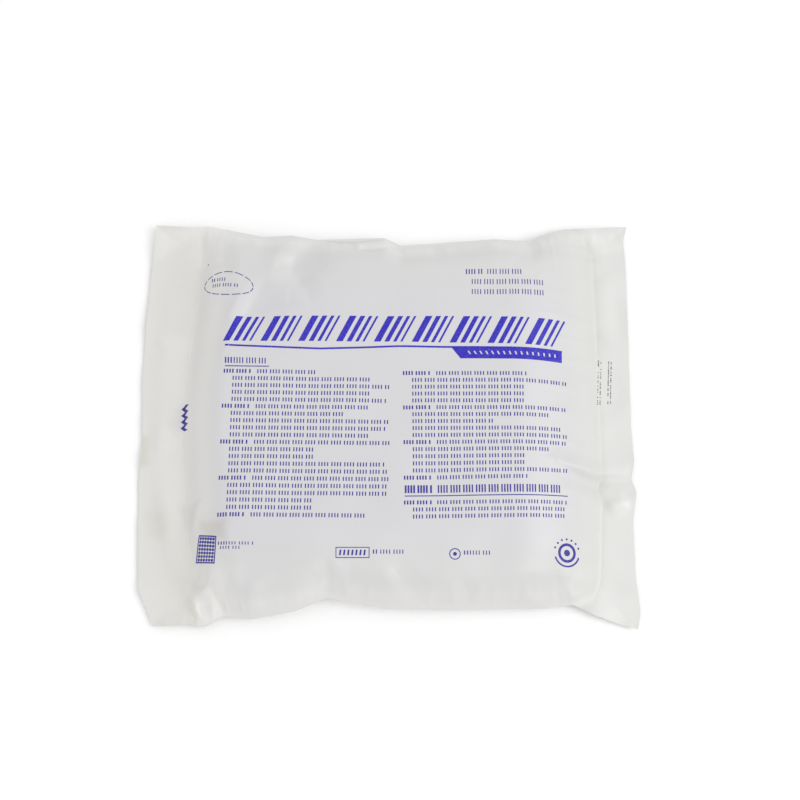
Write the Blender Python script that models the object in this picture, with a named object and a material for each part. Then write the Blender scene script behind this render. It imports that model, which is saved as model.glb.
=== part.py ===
"""A sealed pouch of white film that lies flat, with a folded surgical gown inside it.

The pouch is a flattened tube of film: two long sides are creases, where the film turns round the
gown, and the two ends are sealed flat as flanges. Metres, +Z up. The origin is on the surface that
the pouch lies on, under its middle, with X along the pouch and Y away from the viewer.
"""
import math

import bpy
from mathutils import Vector

# Walls and clearances
FILM = 0.001  # wall of each film
MAX_UPRIGHT = 0.002  # thickest the wall gets, measured straight up through a steep stretch
GAP = 0.0003  # between the two films at the seam
GOWN_CLEARANCE = 0.0009  # between the gown and the front film, straight up
GOWN_INSET = 0.0014  # between the gown and the films, level, on the steep sides
HOLLOW_SPREAD = 1.5  # how much wider the front film's hollows are in the gown under them

# Heights above the surface that the pouch lies on
PACK_RISE = 0.0280  # from the seam up to the level top
LEFT_SHOULDER = 0.034  # length of the slope from the left flange up to the level top
RIGHT_SHOULDER = 0.066
SIDE_SHOULDER = 0.027
END_POWER = 1.65  # roundness of the slopes at the two ends
SIDE_POWER = 2.3  # roundness of the slopes along the two creases
CREASE_REACH = 0.016  # how far in from a crease the back film touches down
FLANGE_REACH = 0.026  # how far in from its end a flange touches down
FOOT_REACH = 0.010  # how far past the foot of the slope a flange's waves die out

# Long sides, seen from above: place along X, place along Y, height of the crease
NEAR_SIDE = [
    (-0.1593, -0.1433, 0.0020),
    (-0.1353, -0.1421, 0.0035),
    (-0.1235, -0.1440, 0.0045),
    (-0.1104, -0.1368, 0.0065),
    (-0.0914, -0.1388, 0.0080),
    (-0.0626, -0.1336, 0.0090),
    (-0.0398, -0.1250, 0.0115),
    (-0.0016, -0.1317, 0.0095),
    (0.0413, -0.1326, 0.0090),
    (0.1070, -0.1317, 0.0085),
    (0.1262, -0.1292, 0.0060),
    (0.1410, -0.1361, 0.0040),
    (0.1603, -0.1429, 0.0025),
    (0.1702, -0.1456, 0.0030),
]
FAR_SIDE = [
    (-0.1702, 0.1456, 0.0055),
    (-0.1435, 0.1446, 0.0045),
    (-0.1310, 0.1448, 0.0055),
    (-0.0909, 0.1354, 0.0085),
    (-0.0707, 0.1362, 0.0095),
    (-0.0517, 0.1325, 0.0105),
    (-0.0025, 0.1342, 0.0100),
    (0.0088, 0.1276, 0.0115),
    (0.0308, 0.1296, 0.0100),
    (0.0778, 0.1336, 0.0090),
    (0.1050, 0.1321, 0.0085),
    (0.1110, 0.1366, 0.0075),
    (0.1284, 0.1424, 0.0060),
    (0.1752, 0.1440, 0.0060),
]

# Sealed ends, seen from above: place along Y, place along X, height of the edge
LEFT_END = [
    (-0.1433, -0.1593, 0.0020),
    (-0.1185, -0.1704, 0.0022),
    (-0.1009, -0.1715, 0.0016),
    (-0.0447, -0.1743, 0.0010),
    (-0.0128, -0.1730, 0.0022),
    (0.0279, -0.1752, 0.0012),
    (0.0689, -0.1748, 0.0022),
    (0.1149, -0.1728, 0.0014),
    (0.1456, -0.1702, 0.0055),
]
RIGHT_END = [
    (-0.1456, 0.1702, 0.0030),
    (-0.1338, 0.1729, 0.0025),
    (-0.1122, 0.1708, 0.0012),
    (-0.0716, 0.1707, 0.0014),
    (-0.0517, 0.1738, 0.0036),
    (-0.0427, 0.1708, 0.0014),
    (-0.0308, 0.1731, 0.0034),
    (0.0001, 0.1725, 0.0012),
    (0.0700, 0.1736, 0.0018),
    (0.1194, 0.1740, 0.0014),
    (0.1343, 0.1729, 0.0030),
    (0.1440, 0.1752, 0.0060),
]

# Feet of the end slopes: place along Y, place along X
LEFT_FOOT = [
    (-0.1456, -0.1240),
    (-0.1207, -0.1295),
    (-0.0850, -0.1378),
    (-0.0145, -0.1451),
    (0.0180, -0.1451),
    (0.0740, -0.1389),
    (0.1180, -0.1364),
    (0.1456, -0.1330),
]
RIGHT_FOOT = [
    (-0.1456, 0.1330),
    (-0.1130, 0.1460),
    (-0.0500, 0.1505),
    (0.0510, 0.1505),
    (0.1276, 0.1500),
    (0.1456, 0.1400),
]

# Folds of the front film over the gown: start x, y, end x, y, height (below 0 for a hollow), half width
PACK_FOLDS = [
    (-0.0845, 0.0971, -0.1068, 0.0676, 0.0024, 0.0090),
    (-0.0450, 0.1150, -0.0620, 0.0720, -0.0046, 0.0240),
    (-0.0509, 0.1319, -0.0750, 0.0990, 0.0026, 0.0090),
    (-0.0217, 0.1240, 0.0080, 0.1230, 0.0022, 0.0070),
    (-0.1167, -0.1022, -0.1295, -0.1225, 0.0050, 0.0080),
    (-0.1190, -0.0812, -0.1340, -0.0700, -0.0034, 0.0090),
    (-0.0524, -0.1047, -0.0398, -0.1225, 0.0034, 0.0085),
    (-0.0026, -0.1007, 0.0101, -0.1211, 0.0018, 0.0085),
    (0.1180, -0.0305, 0.1505, -0.0361, 0.0034, 0.0080),
    (0.1240, -0.0490, 0.1505, -0.0500, -0.0028, 0.0080),
    (0.1168, -0.1100, 0.1215, -0.1190, -0.0040, 0.0110),
]

# Waves of the flanges, which both films share: the same columns
FLANGE_WAVES = [
    (-0.1570, 0.0980, -0.1557, 0.0300, 0.0030, 0.0120),
    (-0.1580, 0.0050, -0.1600, -0.0300, 0.0026, 0.0120),
    (-0.1560, -0.0450, -0.1470, -0.0950, 0.0034, 0.0120),
    (-0.1340, -0.1180, -0.1277, -0.1390, 0.0036, 0.0090),
    (0.1505, -0.0361, 0.1713, -0.0361, 0.0030, 0.0080),
    (0.1512, -0.0642, 0.1703, -0.0560, 0.0028, 0.0090),
    (0.1570, 0.1100, 0.1580, 0.0400, 0.0016, 0.0110),
]

# Rows of cells across the films: the strip's share of the length, number of cells
CELLS_ALONG_X = [(0.095, 4), (0.105, 7), (0.550, 17), (0.185, 8), (0.065, 3)]
CELLS_ALONG_Y = [(0.092, 6), (0.816, 19), (0.092, 6)]

# The folded gown
GOWN_FOLDS = 5  # folded layers that show round its sides
GOWN_GROOVE = 0.0018  # depth of the groove between two layers
GOWN_SIDES = 80  # points round its outline
GOWN_SEARCH = 2  # directions that are searched for each of those points
GOWN_SHARE = 0.80  # how high the layers reach, as a share of the pack's rise
GOWN_TOP_RINGS = [0.95, 0.88, 0.78, 0.66, 0.52, 0.36, 0.18]  # rings of its top, from the edge in
GOWN_BOTTOM_RINGS = [0.70, 0.35]
MARCH = 0.0030  # step of the search for the film, from inside out
SEARCH_FROM = 0.55  # where that search starts, as a share of the way out
HALVINGS = 5  # of its last step

SLOPE_STEP = 0.0005  # step that slopes are measured over
ROUNDING = 0.000001  # slack when two equal heights are compared

FILM_COLOUR = (0.70, 0.70, 0.72, 1.0)
GOWN_COLOUR = (0.16, 0.38, 0.60, 1.0)


def curve(rows, column):
    """A function that runs smoothly through a column of the rows, with no overshoot between them."""
    places = [row[0] for row in rows]
    values = [row[column] for row in rows]
    widths = [b - a for a, b in zip(places, places[1:])]
    slopes = [(b - a) / w for a, b, w in zip(values, values[1:], widths)]
    tangents = [slopes[0]]
    for before, after in zip(slopes, slopes[1:]):
        tangents.append(0.0 if before * after <= 0 else 2 * before * after / (before + after))
    tangents.append(slopes[-1])

    def value(at):
        at = min(max(at, places[0]), places[-1])
        i = 0
        while i < len(widths) - 1 and at > places[i + 1]:
            i += 1
        u = (at - places[i]) / widths[i]
        start = (1 + 2 * u) * (1 - u) ** 2 * values[i] + u * (1 - u) ** 2 * widths[i] * tangents[i]
        end = u * u * (3 - 2 * u) * values[i + 1] - u * u * (1 - u) * widths[i] * tangents[i + 1]
        return start + end

    return value


near_y, near_crease = curve(NEAR_SIDE, 1), curve(NEAR_SIDE, 2)
far_y, far_crease = curve(FAR_SIDE, 1), curve(FAR_SIDE, 2)
left_x, left_edge = curve(LEFT_END, 1), curve(LEFT_END, 2)
right_x, right_edge = curve(RIGHT_END, 1), curve(RIGHT_END, 2)
left_foot, right_foot = curve(LEFT_FOOT, 1), curve(RIGHT_FOOT, 1)


def clamped(value):
    return min(max(value, 0.0), 1.0)


def smooth(value):
    """0 to 1, level at both ends."""
    u = clamped(value)
    return u * u * (3 - 2 * u)


def fade(distance, reach):
    """1 at an edge, down to 0 at its reach."""
    return (1 - clamped(distance / reach)) ** 2


def shoulder(distance, length, power):
    """0 at the foot of a slope, 1 past its length: steepest at the foot and level on top."""
    return 1 - (1 - clamped(distance / length)) ** power


def folds(rows, x, y):
    """Height that the rows' folds add at a point: a soft ridge or hollow along each row's line."""
    total = 0.0
    for x0, y0, x1, y1, height, half_width in rows:
        run = Vector((x1 - x0, y1 - y0))
        along = clamped(Vector((x - x0, y - y0)).dot(run) / run.length_squared)
        away = math.hypot(x - x0 - along * run.x, y - y0 - along * run.y)
        total += height * (1 - smooth(away / half_width))
    return total


def pack(x, y):
    """0 on the flanges and at the creases, 1 on the level top."""
    ends = shoulder(x - left_foot(y), LEFT_SHOULDER, END_POWER)
    ends *= shoulder(right_foot(y) - x, RIGHT_SHOULDER, END_POWER)
    sides = shoulder(y - near_y(x), SIDE_SHOULDER, SIDE_POWER)
    sides *= shoulder(far_y(x) - y, SIDE_SHOULDER, SIDE_POWER)
    return ends * sides


def lift(x, y):
    """Height of the back film's underside: 0 where it rests, and up at the creases and flanges."""
    sides = max(
        near_crease(x) * fade(y - near_y(x), CREASE_REACH),
        far_crease(x) * fade(far_y(x) - y, CREASE_REACH),
    )
    ends = max(
        left_edge(y) * fade(x - left_x(y), FLANGE_REACH),
        right_edge(y) * fade(right_x(y) - x, FLANGE_REACH),
    )
    inside = min(x - left_foot(y), right_foot(y) - x)
    waves = folds(FLANGE_WAVES, x, y) * (1 - smooth(inside / FOOT_REACH))
    return max(sides, ends) + waves


def upright(height, x, y):
    """The wall measured straight up, where the surface of that height function slopes at (x, y)."""
    step = SLOPE_STEP
    slope_x = (height(x + step, y) - height(x - step, y)) / (2 * step)
    slope_y = (height(x, y + step) - height(x, y - step)) / (2 * step)
    return min(FILM * math.sqrt(1 + slope_x**2 + slope_y**2), MAX_UPRIGHT)


def back_top(x, y):
    return lift(x, y) + upright(lift, x, y)


def pack_height(fold_rows, x, y):
    """Underside of the front film with these folds in it."""
    low, full = lift(x, y), pack(x, y)
    return back_top(x, y) + GAP + (PACK_RISE - low) * full + folds(fold_rows, x, y) * math.sqrt(full)


def front_inside(x, y):
    return pack_height(PACK_FOLDS, x, y)


def front_outside(x, y):
    return front_inside(x, y) + upright(front_inside, x, y)


def spaced(strips):
    """0 to 1 in the strips' cells."""
    places, start = [0.0], 0.0
    for share, cells in strips:
        places += [start + share * (i + 1) / cells for i in range(cells)]
        start += share
    return [place / start for place in places]


def outline_patch(s, t):
    """The point that lies s of the way from the left end and t of the way from the near side."""
    x0, x1 = NEAR_SIDE[0][0], NEAR_SIDE[-1][0]
    x2, x3 = FAR_SIDE[0][0], FAR_SIDE[-1][0]
    near = Vector((x0 + (x1 - x0) * s, near_y(x0 + (x1 - x0) * s)))
    far = Vector((x2 + (x3 - x2) * s, far_y(x2 + (x3 - x2) * s)))
    y0, y1 = LEFT_END[0][0], LEFT_END[-1][0]
    y2, y3 = RIGHT_END[0][0], RIGHT_END[-1][0]
    left = Vector((left_x(y0 + (y1 - y0) * t), y0 + (y1 - y0) * t))
    right = Vector((right_x(y2 + (y3 - y2) * t), y2 + (y3 - y2) * t))
    corners = (1 - t) * ((1 - s) * Vector((x0, near_y(x0))) + s * Vector((x1, near_y(x1))))
    corners += t * ((1 - s) * Vector((x2, far_y(x2))) + s * Vector((x3, far_y(x3))))
    return (1 - t) * near + t * far + (1 - s) * left + s * right - corners


def solid(name, points, faces, colour, roughness):
    """An object of its own material from points and faces, shaded smooth over its soft bends."""
    mesh = bpy.data.meshes.new(name)
    mesh.from_pydata(points, [], faces)
    mesh.validate()
    mesh.shade_smooth()
    mesh.set_sharp_from_angle(angle=math.radians(50))
    thing = bpy.data.objects.new(name, mesh)
    bpy.context.collection.objects.link(thing)
    material = bpy.data.materials.new(name)
    material.use_nodes = True
    shader = material.node_tree.nodes["Principled BSDF"]
    shader.inputs["Base Color"].default_value = colour
    shader.inputs["Roughness"].default_value = roughness
    mesh.materials.append(material)
    return thing


def film(name, bottom, top):
    """A wall between two height functions, over the whole outline of the pouch."""
    lines = [[outline_patch(s, t) for s in spaced(CELLS_ALONG_X)] for t in spaced(CELLS_ALONG_Y)]
    rows, columns = len(lines), len(lines[0])
    flat = [point for line in lines for point in line]
    points = [(x, y, top(x, y)) for x, y in flat] + [(x, y, bottom(x, y)) for x, y in flat]
    under = len(flat)
    faces = []
    for j in range(rows - 1):
        for i in range(columns - 1):
            a, b = j * columns + i, j * columns + i + 1
            c, d = b + columns, a + columns
            faces += [(a, b, c), (a, c, d)]
            faces += [(under + c, under + b, under + a), (under + d, under + c, under + a)]
    rim = [i for i in range(columns)]
    rim += [j * columns + columns - 1 for j in range(1, rows)]
    rim += [(rows - 1) * columns + i for i in range(columns - 2, -1, -1)]
    rim += [j * columns for j in range(rows - 2, 0, -1)]
    for a, b in zip(rim, rim[1:] + rim[:1]):
        faces += [(under + a, under + b, b), (under + a, b, a)]
    return solid(name, points, faces, FILM_COLOUR, 0.45)


def rectangle(share):
    """A point on the edge of the rectangle that holds the pouch, a share of the way round it."""
    half_x, half_y = RIGHT_END[-1][1], FAR_SIDE[0][1]
    around = share * 4
    side, u = int(around) % 4, around - int(around)
    corners = [(-1, -1), (1, -1), (1, 1), (-1, 1), (-1, -1)]
    (ax, ay), (bx, by) = corners[side], corners[side + 1]
    return Vector(((ax + (bx - ax) * u) * half_x, (ay + (by - ay) * u) * half_y))


def gown_ceiling(x, y):
    """The gown's top: it follows the front film's hollows, and not its ridges."""
    hollows = [(*row[:5], row[5] * HOLLOW_SPREAD) for row in PACK_FOLDS if row[4] < 0]
    return pack_height(hollows, x, y) - GOWN_CLEARANCE


def clears(direction, distance, level):
    x, y = direction * distance
    return level <= gown_ceiling(x, y) and level >= lift(x, y) + FILM + GAP - ROUNDING


def reach_inside(ray, level):
    """How far out along a ray, from the middle, a point at this level still clears both films."""
    direction, distance = ray.normalized(), ray.length * SEARCH_FROM
    while distance < ray.length and clears(direction, distance + MARCH, level):
        distance += MARCH
    step = MARCH
    for _ in range(HALVINGS):
        step /= 2
        if clears(direction, distance + step, level):
            distance += step
    return distance - GOWN_INSET


def gown_outline(level, inset):
    """The gown's outline at a level, drawn in where the films' sides are notched."""
    count = GOWN_SIDES * GOWN_SEARCH
    rays = [rectangle(i / count) for i in range(count)]
    reaches = [reach_inside(ray, level) for ray in rays]
    outline = []
    for i in range(0, count, GOWN_SEARCH):
        nearby = [reaches[(i + k) % count] for k in range(-GOWN_SEARCH, GOWN_SEARCH + 1)]
        outline.append(rays[i].normalized() * (min(nearby) - inset))
    return outline


def folded_gown():
    """The gown: one soft block with rounded layers round its sides, and the film's form on top."""
    floor = FILM + GAP
    layer = PACK_RISE * GOWN_SHARE / GOWN_FOLDS
    heights = [(floor, GOWN_GROOVE)]
    for fold in range(GOWN_FOLDS):
        low = floor + fold * layer
        heights += [(low + 0.28 * layer, 0.0), (low + 0.72 * layer, 0.0), (low + layer, GOWN_GROOVE)]
    heights[-1] = (heights[-1][0], 0.0)

    rings = [[(x, y, height) for x, y in gown_outline(height, groove)] for height, groove in heights]
    bottom, top = rings[0], rings[-1]
    for share in GOWN_TOP_RINGS:
        flat = [(x * share, y * share) for x, y, _ in top]
        rings.append([(x, y, gown_ceiling(x, y)) for x, y in flat])
    for share in GOWN_BOTTOM_RINGS:
        rings.insert(0, [(x * share, y * share, floor) for x, y, _ in bottom])

    points = [point for ring in rings for point in ring]
    faces = []
    for k in range(len(rings) - 1):
        for i in range(GOWN_SIDES):
            a, b = k * GOWN_SIDES + i, k * GOWN_SIDES + (i + 1) % GOWN_SIDES
            faces += [(a, b, b + GOWN_SIDES), (a, b + GOWN_SIDES, a + GOWN_SIDES)]
    last = (len(rings) - 1) * GOWN_SIDES
    points += [(0.0, 0.0, floor), (0.0, 0.0, gown_ceiling(0.0, 0.0))]
    for i in range(GOWN_SIDES):
        j = (i + 1) % GOWN_SIDES
        faces += [(j, i, len(points) - 2), (last + i, last + j, len(points) - 1)]
    return solid("folded_gown", points, faces, GOWN_COLOUR, 0.85)


def main():
    for thing in list(bpy.data.objects):
        bpy.data.objects.remove(thing, do_unlink=True)
    film("back_film", lift, back_top)
    film("front_film", front_inside, front_outside)
    folded_gown()


main()
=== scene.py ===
"""The looks of a sealed pouch of milky film that lies flat, with a folded surgical gown inside it."""
import math

import bpy
import numpy as np
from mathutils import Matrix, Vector
from mathutils.bvhtree import BVHTree


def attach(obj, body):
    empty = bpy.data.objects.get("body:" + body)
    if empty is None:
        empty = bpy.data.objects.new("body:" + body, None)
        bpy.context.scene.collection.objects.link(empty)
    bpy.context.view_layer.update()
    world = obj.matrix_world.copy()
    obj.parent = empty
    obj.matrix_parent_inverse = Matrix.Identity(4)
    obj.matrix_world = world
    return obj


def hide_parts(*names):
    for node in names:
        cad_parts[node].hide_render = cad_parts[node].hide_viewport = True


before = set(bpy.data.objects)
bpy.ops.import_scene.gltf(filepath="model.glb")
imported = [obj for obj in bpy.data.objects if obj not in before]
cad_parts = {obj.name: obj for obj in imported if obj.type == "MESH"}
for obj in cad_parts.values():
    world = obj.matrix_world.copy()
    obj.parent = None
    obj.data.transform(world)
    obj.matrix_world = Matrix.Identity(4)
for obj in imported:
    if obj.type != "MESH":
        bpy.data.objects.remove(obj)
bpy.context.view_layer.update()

# Heights of the films, in metres
TOP = 0.0303  # the level top of the front film
SEAM = 0.0002  # the front film above the back one where they are sealed
LEFT_SHOULDER = 0.034
RIGHT_SHOULDER = 0.066
SIDE_SHOULDER = 0.027
END_POWER = 1.65
SIDE_POWER = 2.3
CREASE_REACH = 0.016
FLANGE_REACH = 0.026
FOOT_REACH = 0.010

# Fine relief of the films, in metres
FLANGE_RIPPLE = 0.00035
BACK_SLACK = 0.00012
FRONT_SLACK = 0.00035
SLOPE_PULLS = 0.00045  # fine straight folds on the slopes
SIDE_PULLS = 0.0006  # and along the creases of the long sides
FREE_EDGE = 0.007  # the front film's creases fade out this near its outline

# Long sides: place along X, place along Y, height of the crease
NEAR_SIDE = [
    (-0.1593, -0.1433, 0.0020),
    (-0.1353, -0.1421, 0.0035),
    (-0.1235, -0.1440, 0.0045),
    (-0.1104, -0.1368, 0.0065),
    (-0.0914, -0.1388, 0.0080),
    (-0.0626, -0.1336, 0.0090),
    (-0.0398, -0.1250, 0.0115),
    (-0.0016, -0.1317, 0.0095),
    (0.0413, -0.1326, 0.0090),
    (0.1070, -0.1317, 0.0085),
    (0.1262, -0.1292, 0.0060),
    (0.1410, -0.1361, 0.0040),
    (0.1603, -0.1429, 0.0025),
    (0.1702, -0.1456, 0.0030),
]
FAR_SIDE = [
    (-0.1702, 0.1456, 0.0055),
    (-0.1435, 0.1446, 0.0045),
    (-0.1310, 0.1448, 0.0055),
    (-0.0909, 0.1354, 0.0085),
    (-0.0707, 0.1362, 0.0095),
    (-0.0517, 0.1325, 0.0105),
    (-0.0025, 0.1342, 0.0100),
    (0.0088, 0.1276, 0.0115),
    (0.0308, 0.1296, 0.0100),
    (0.0778, 0.1336, 0.0090),
    (0.1050, 0.1321, 0.0085),
    (0.1110, 0.1366, 0.0075),
    (0.1284, 0.1424, 0.0060),
    (0.1752, 0.1440, 0.0060),
]

# Sealed ends: place along Y, place along X, height of the edge
LEFT_END = [
    (-0.1433, -0.1593, 0.0020),
    (-0.1185, -0.1704, 0.0022),
    (-0.1009, -0.1715, 0.0016),
    (-0.0447, -0.1743, 0.0010),
    (-0.0128, -0.1730, 0.0022),
    (0.0279, -0.1752, 0.0012),
    (0.0689, -0.1748, 0.0022),
    (0.1149, -0.1728, 0.0014),
    (0.1456, -0.1702, 0.0055),
]
RIGHT_END = [
    (-0.1456, 0.1702, 0.0030),
    (-0.1338, 0.1729, 0.0025),
    (-0.1122, 0.1708, 0.0012),
    (-0.0716, 0.1707, 0.0014),
    (-0.0517, 0.1738, 0.0036),
    (-0.0427, 0.1708, 0.0014),
    (-0.0308, 0.1731, 0.0034),
    (0.0001, 0.1725, 0.0012),
    (0.0700, 0.1736, 0.0018),
    (0.1194, 0.1740, 0.0014),
    (0.1343, 0.1729, 0.0030),
    (0.1440, 0.1752, 0.0060),
]

# Feet of the end slopes: place along Y, place along X
LEFT_FOOT = [
    (-0.1456, -0.1240),
    (-0.1207, -0.1295),
    (-0.0850, -0.1378),
    (-0.0145, -0.1451),
    (0.0180, -0.1451),
    (0.0740, -0.1389),
    (0.1180, -0.1364),
    (0.1456, -0.1395),
]
RIGHT_FOOT = [
    (-0.1456, 0.1330),
    (-0.1130, 0.1460),
    (-0.0500, 0.1505),
    (0.0510, 0.1505),
    (0.1276, 0.1500),
    (0.1456, 0.1400),
]

# Soft waves of the flanges, in both films: start x, y, end x, y, height, half width
FLANGE_WAVES = [
    (-0.1570, 0.0980, -0.1557, 0.0300, 0.0018, 0.0130),
    (-0.1580, 0.0050, -0.1600, -0.0300, 0.0026, 0.0120),
    (-0.1560, -0.0450, -0.1470, -0.0950, 0.0034, 0.0120),
    (-0.1340, -0.1180, -0.1277, -0.1390, 0.0036, 0.0090),
    (0.1512, -0.0642, 0.1703, -0.0560, 0.0020, 0.0100),
    (0.1570, 0.1100, 0.1580, 0.0400, 0.0008, 0.0110),
]

# Broad folds of the front film over the gown: the same columns
PACK_FOLDS = [
    (-0.0845, 0.0971, -0.1068, 0.0676, 0.0016, 0.0120),
    (-0.0570, 0.1180, -0.0690, 0.0850, -0.0022, 0.0200),
    (-0.0570, 0.1330, -0.0790, 0.1060, 0.0014, 0.0120),
    (-0.0217, 0.1240, 0.0080, 0.1230, 0.0010, 0.0090),
    (-0.1167, -0.1022, -0.1295, -0.1225, 0.0020, 0.0110),
    (-0.0524, -0.1047, -0.0398, -0.1225, 0.0014, 0.0110),
    (-0.0026, -0.1007, 0.0101, -0.1211, 0.0010, 0.0110),
    (0.1180, -0.0305, 0.1505, -0.0361, 0.0012, 0.0100),
    (0.1240, -0.0490, 0.1505, -0.0500, -0.0010, 0.0100),
    (0.1168, -0.1100, 0.1215, -0.1190, -0.0008, 0.0120),
]

# Creases of the front film: points along it, height (below 0 for a valley), width on the left and on
# the right of its way
CREASES = [
    ([(-0.0840, 0.0975), (-0.0921, 0.0851), (-0.0972, 0.0737), (-0.1044, 0.0587)], -0.0036, 0.026, 0.010),
    ([(-0.0480, 0.1335), (-0.0590, 0.1203), (-0.0670, 0.1095), (-0.0678, 0.1009)], -0.0039, 0.028, 0.013),
    ([(-0.0678, 0.1009), (-0.0619, 0.0935), (-0.0571, 0.0872), (-0.0534, 0.0763)], -0.0016, 0.012, 0.007),
    ([(-0.0590, 0.0850), (-0.0565, 0.0730)], 0.0005, 0.003, 0.004),
    ([(-0.0209, 0.1200), (-0.0055, 0.1209), (0.0064, 0.1257)], -0.0022, 0.003, 0.007),
    ([(-0.0221, 0.1290), (-0.0058, 0.1305), (0.0076, 0.1265)], -0.0014, 0.005, 0.003),
    ([(-0.0219, 0.1300), (-0.0212, 0.1200)], 0.0012, 0.004, 0.003),
    ([(-0.0456, 0.1298), (-0.0325, 0.1286), (-0.0129, 0.1294), (-0.0035, 0.1306)], -0.0010, 0.003, 0.003),
    ([(-0.1392, -0.0700), (-0.1350, -0.0626), (-0.1279, -0.0580)], -0.0020, 0.006, 0.004),
    ([(-0.1346, -0.0800), (-0.1300, -0.0640)], 0.0024, 0.003, 0.006),
    ([(-0.1327, -0.0810), (-0.1252, -0.0761), (-0.1120, -0.0728)], -0.0040, 0.012, 0.009),
    ([(-0.1169, -0.1020), (-0.1203, -0.1169), (-0.1290, -0.1226)], 0.0032, 0.013, 0.009),
    ([(-0.1290, -0.1226), (-0.1298, -0.1319), (-0.1236, -0.1431)], 0.0022, 0.013, 0.005),
    ([(-0.1190, -0.1165), (-0.1145, -0.1263), (-0.1113, -0.1350)], -0.0014, 0.010, 0.004),
    ([(-0.1515, -0.1040), (-0.1522, -0.1179), (-0.1446, -0.1336), (-0.1358, -0.1415)],
     -0.0016, 0.012, 0.006),
    ([(-0.0530, -0.1069), (-0.0466, -0.1127), (-0.0452, -0.1189), (-0.0394, -0.1248)],
     -0.0028, 0.016, 0.009),
    ([(-0.0394, -0.1248), (-0.0271, -0.1220), (-0.0223, -0.1127)], 0.0010, 0.008, 0.008),
    ([(-0.0001, -0.1003), (0.0066, -0.1086), (0.0154, -0.1171), (0.0249, -0.1307)], -0.0019, 0.012, 0.008),
    ([(0.1190, -0.0330), (0.1382, -0.0374), (0.1460, -0.0384), (0.1715, -0.0368)], 0.0034, 0.009, 0.005),
    ([(0.1420, -0.0436), (0.1580, -0.0438), (0.1715, -0.0456)], -0.0022, 0.004, 0.007),
    ([(0.1281, -0.0438), (0.1458, -0.0492), (0.1687, -0.0529)], -0.0022, 0.006, 0.008),
    ([(0.1510, -0.0630), (0.1690, -0.0575)], 0.0014, 0.009, 0.009),
    ([(0.1192, -0.1141), (0.1236, -0.1205), (0.1263, -0.1282)], 0.0020, 0.011, 0.008),
    ([(0.1110, -0.1100), (0.1170, -0.1150)], -0.0010, 0.008, 0.008),
    ([(0.1160, 0.1290), (0.1457, 0.1303), (0.1740, 0.1275)], -0.0010, 0.008, 0.012),
    ([(0.1059, 0.1324), (0.0926, 0.1103), (0.0744, 0.0924), (0.0555, 0.0789)], -0.0016, 0.018, 0.022),
    ([(-0.1715, 0.1180), (-0.1602, 0.1275), (-0.1420, 0.1430)], -0.0016, 0.008, 0.004),
    ([(-0.1310, 0.1430), (-0.1240, 0.1210), (-0.1150, 0.1100)], -0.0016, 0.010, 0.012),
    ([(-0.0914, -0.1385), (-0.0900, -0.1240), (-0.0830, -0.1130)], 0.0016, 0.008, 0.010),
    ([(0.0560, -0.1325), (0.0540, -0.1190), (0.0470, -0.1120)], -0.0014, 0.009, 0.007),
    ([(0.0900, -0.1320), (0.0930, -0.1190)], 0.0012, 0.006, 0.009),
    ([(0.0300, 0.1295), (0.0360, 0.1160)], -0.0016, 0.008, 0.010),
    ([(0.0770, 0.1336), (0.0740, 0.1200)], 0.0014, 0.008, 0.006),
    ([(-0.0907, 0.1354), (-0.0960, 0.1200)], 0.0012, 0.009, 0.007),
    ([(-0.1435, 0.0250), (-0.1280, 0.0300)], 0.0008, 0.006, 0.006),
    ([(-0.1450, -0.0270), (-0.1290, -0.0330)], -0.0009, 0.006, 0.007),
    ([(0.1490, 0.0700), (0.1250, 0.0640)], 0.0008, 0.007, 0.008),
    ([(0.1490, -0.0830), (0.1300, -0.0790)], -0.0008, 0.007, 0.006),
]

# Creases of the back film under the gown: the same columns, all raised off the floor
BACK_CREASES = [
    ([(-0.1280, -0.1050), (-0.0950, -0.0640), (-0.0480, -0.0500)], 0.0010, 0.009, 0.005),
    ([(-0.1330, 0.0620), (-0.0900, 0.0520), (-0.0460, 0.0670)], 0.0009, 0.006, 0.010),
    ([(-0.0400, -0.1230), (-0.0290, -0.0870), (0.0050, -0.0600)], 0.0011, 0.008, 0.006),
    ([(0.0090, 0.1250), (-0.0030, 0.0880), (0.0190, 0.0520)], 0.0010, 0.006, 0.009),
    ([(0.1270, -0.1250), (0.1010, -0.0870), (0.0570, -0.0720)], 0.0010, 0.008, 0.005),
    ([(0.1440, -0.0400), (0.0960, -0.0310), (0.0500, -0.0370)], 0.0009, 0.005, 0.008),
    ([(0.1410, 0.0820), (0.0930, 0.0920), (0.0540, 0.0800)], 0.0010, 0.009, 0.006),
    ([(-0.1220, -0.0130), (-0.0740, 0.0050), (-0.0300, 0.0010)], 0.0007, 0.010, 0.007),
    ([(0.0340, 0.0100), (0.0850, 0.0170), (0.1230, 0.0060)], 0.0007, 0.007, 0.010),
    ([(-0.0850, 0.1220), (-0.0780, 0.0960)], 0.0010, 0.006, 0.008),
    ([(0.0620, -0.1220), (0.0560, -0.0960)], 0.0009, 0.007, 0.005),
]
CREASE_POWER = 1.05
CREASE_SOFTNESS = 0.035
CORNER_SHIFTS = (-0.0010, 0.0010)
GOWN_ROOM = 0.0012  # between the gown's top and the front film
TOP_ROUNDING = 0.28

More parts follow.
